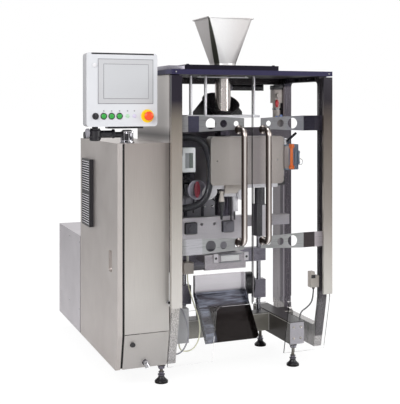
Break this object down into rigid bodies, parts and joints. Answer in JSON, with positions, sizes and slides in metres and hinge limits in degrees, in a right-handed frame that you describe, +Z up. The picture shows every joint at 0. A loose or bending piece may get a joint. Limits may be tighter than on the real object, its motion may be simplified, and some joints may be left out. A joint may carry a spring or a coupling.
{
  "type": "vertical form fill seal machine",
  "caption": "Upright bag making, filling and sealing machine with a hopper, clear doors and a control panel.",
  "frame": {"origin": "on the floor, under the middle of the machine's outline", "axes": "+X to the machine's right seen from the front, +Y to its back, +Z up"},
  "size_m": [1.168, 1.299, 1.654],
  "materials": {
    "cabinet_steel": "brushed",
    "frame_steel": "satin",
    "polished_steel": "polished",
    "bright_chrome": "polished",
    "machined_aluminium": "machined",
    "dark_enamel": "satin",
    "pale_enamel": "satin",
    "orange_enamel": "satin",
    "black_plastic": "matt",
    "grey_plastic": "satin",
    "pale_plastic": "satin",
    "red_plastic": "gloss",
    "clear_panel": "clear",
    "black_rubber": "matt"
  },
  "bodies": {
    "machine": {"cabinet_housing": "cabinet_steel", "cabinet_side_panel": "cabinet_steel", "cabinet_front_panel": "cabinet_steel", "cabinet_kick_panel": "cabinet_steel", "side_vent_cover": "black_plastic", "reel_housing": "cabinet_steel", "reel_housing_cover": "cabinet_steel", "reel_shaft": "machined_aluminium", "left_side_frame": "frame_steel", "right_side_frame": "frame_steel", "left_side_sheet": "pale_enamel", "column_panels": "pale_enamel", "top_plate": "frame_steel", "top_front_band": "dark_enamel", "top_cover_box": "dark_enamel", "hopper": "polished_steel", "forming_tube": "polished_steel", "forming_shoulder": "dark_enamel", "shoulder_hanger": "machined_aluminium", "film_guide_roller": "dark_enamel", "cross_rails": "machined_aluminium", "sealing_yoke": "machined_aluminium", "seal_unit_cover": "frame_steel", "drive_motors": "black_plastic", "coder_unit": "orange_enamel", "temperature_controller": "pale_plastic", "conduit_loop": "black_rubber", "base_frame": "frame_steel", "levelling_feet": "dark_enamel", "jaw_guide_rods": "bright_chrome", "jaw_crosshead": "machined_aluminium", "front_jaw": "machined_aluminium", "jaw_carriage_plate": "machined_aluminium", "discharge_chute": "polished_steel", "drum_motor": "dark_enamel", "junction_box": "grey_plastic", "door_switch": "pale_plastic", "door_switch_cable": "black_rubber", "grey_hose": "grey_plastic", "mounting_wall": "pale_enamel", "hose_manifold": "pale_plastic", "jaw_hose_front": "pale_plastic", "jaw_hose_rear": "pale_plastic", "pale_hose": "pale_plastic", "air_service_unit": "pale_plastic", "door_hinge_brackets": "frame_steel", "panel_bracket": "polished_steel"},
    "right_door": {"right_door_glass": "clear_panel", "right_door_stile": "frame_steel", "right_door_arms": "frame_steel", "right_door_handle": "bright_chrome"},
    "left_door": {"left_door_glass": "clear_panel", "left_door_stile": "frame_steel", "left_door_arms": "frame_steel", "left_door_handle": "bright_chrome"},
    "control_panel": {"panel_housing": "pale_plastic", "panel_screen": "grey_plastic", "panel_buttons": "black_plastic", "emergency_stop": "red_plastic", "panel_arm": "dark_enamel"}
  },
  "joints": [
    {"name": "right_door_hinge", "type": "hinge", "parent": "machine", "child": "right_door", "pos_m": [0.576, -0.5475, 0.614], "axis": [0, 0, 1], "range_deg": [0, 90]},
    {"name": "left_door_hinge", "type": "hinge", "parent": "machine", "child": "left_door", "pos_m": [-0.206, -0.5475, 0.614], "axis": [0, 0, -1], "range_deg": [0, 90]},
    {"name": "panel_swivel", "type": "hinge", "parent": "machine", "child": "control_panel", "pos_m": [-0.391, -0.4805, 1.086], "axis": [0, 0, 1], "range_deg": [-25, 25]}
  ]
}
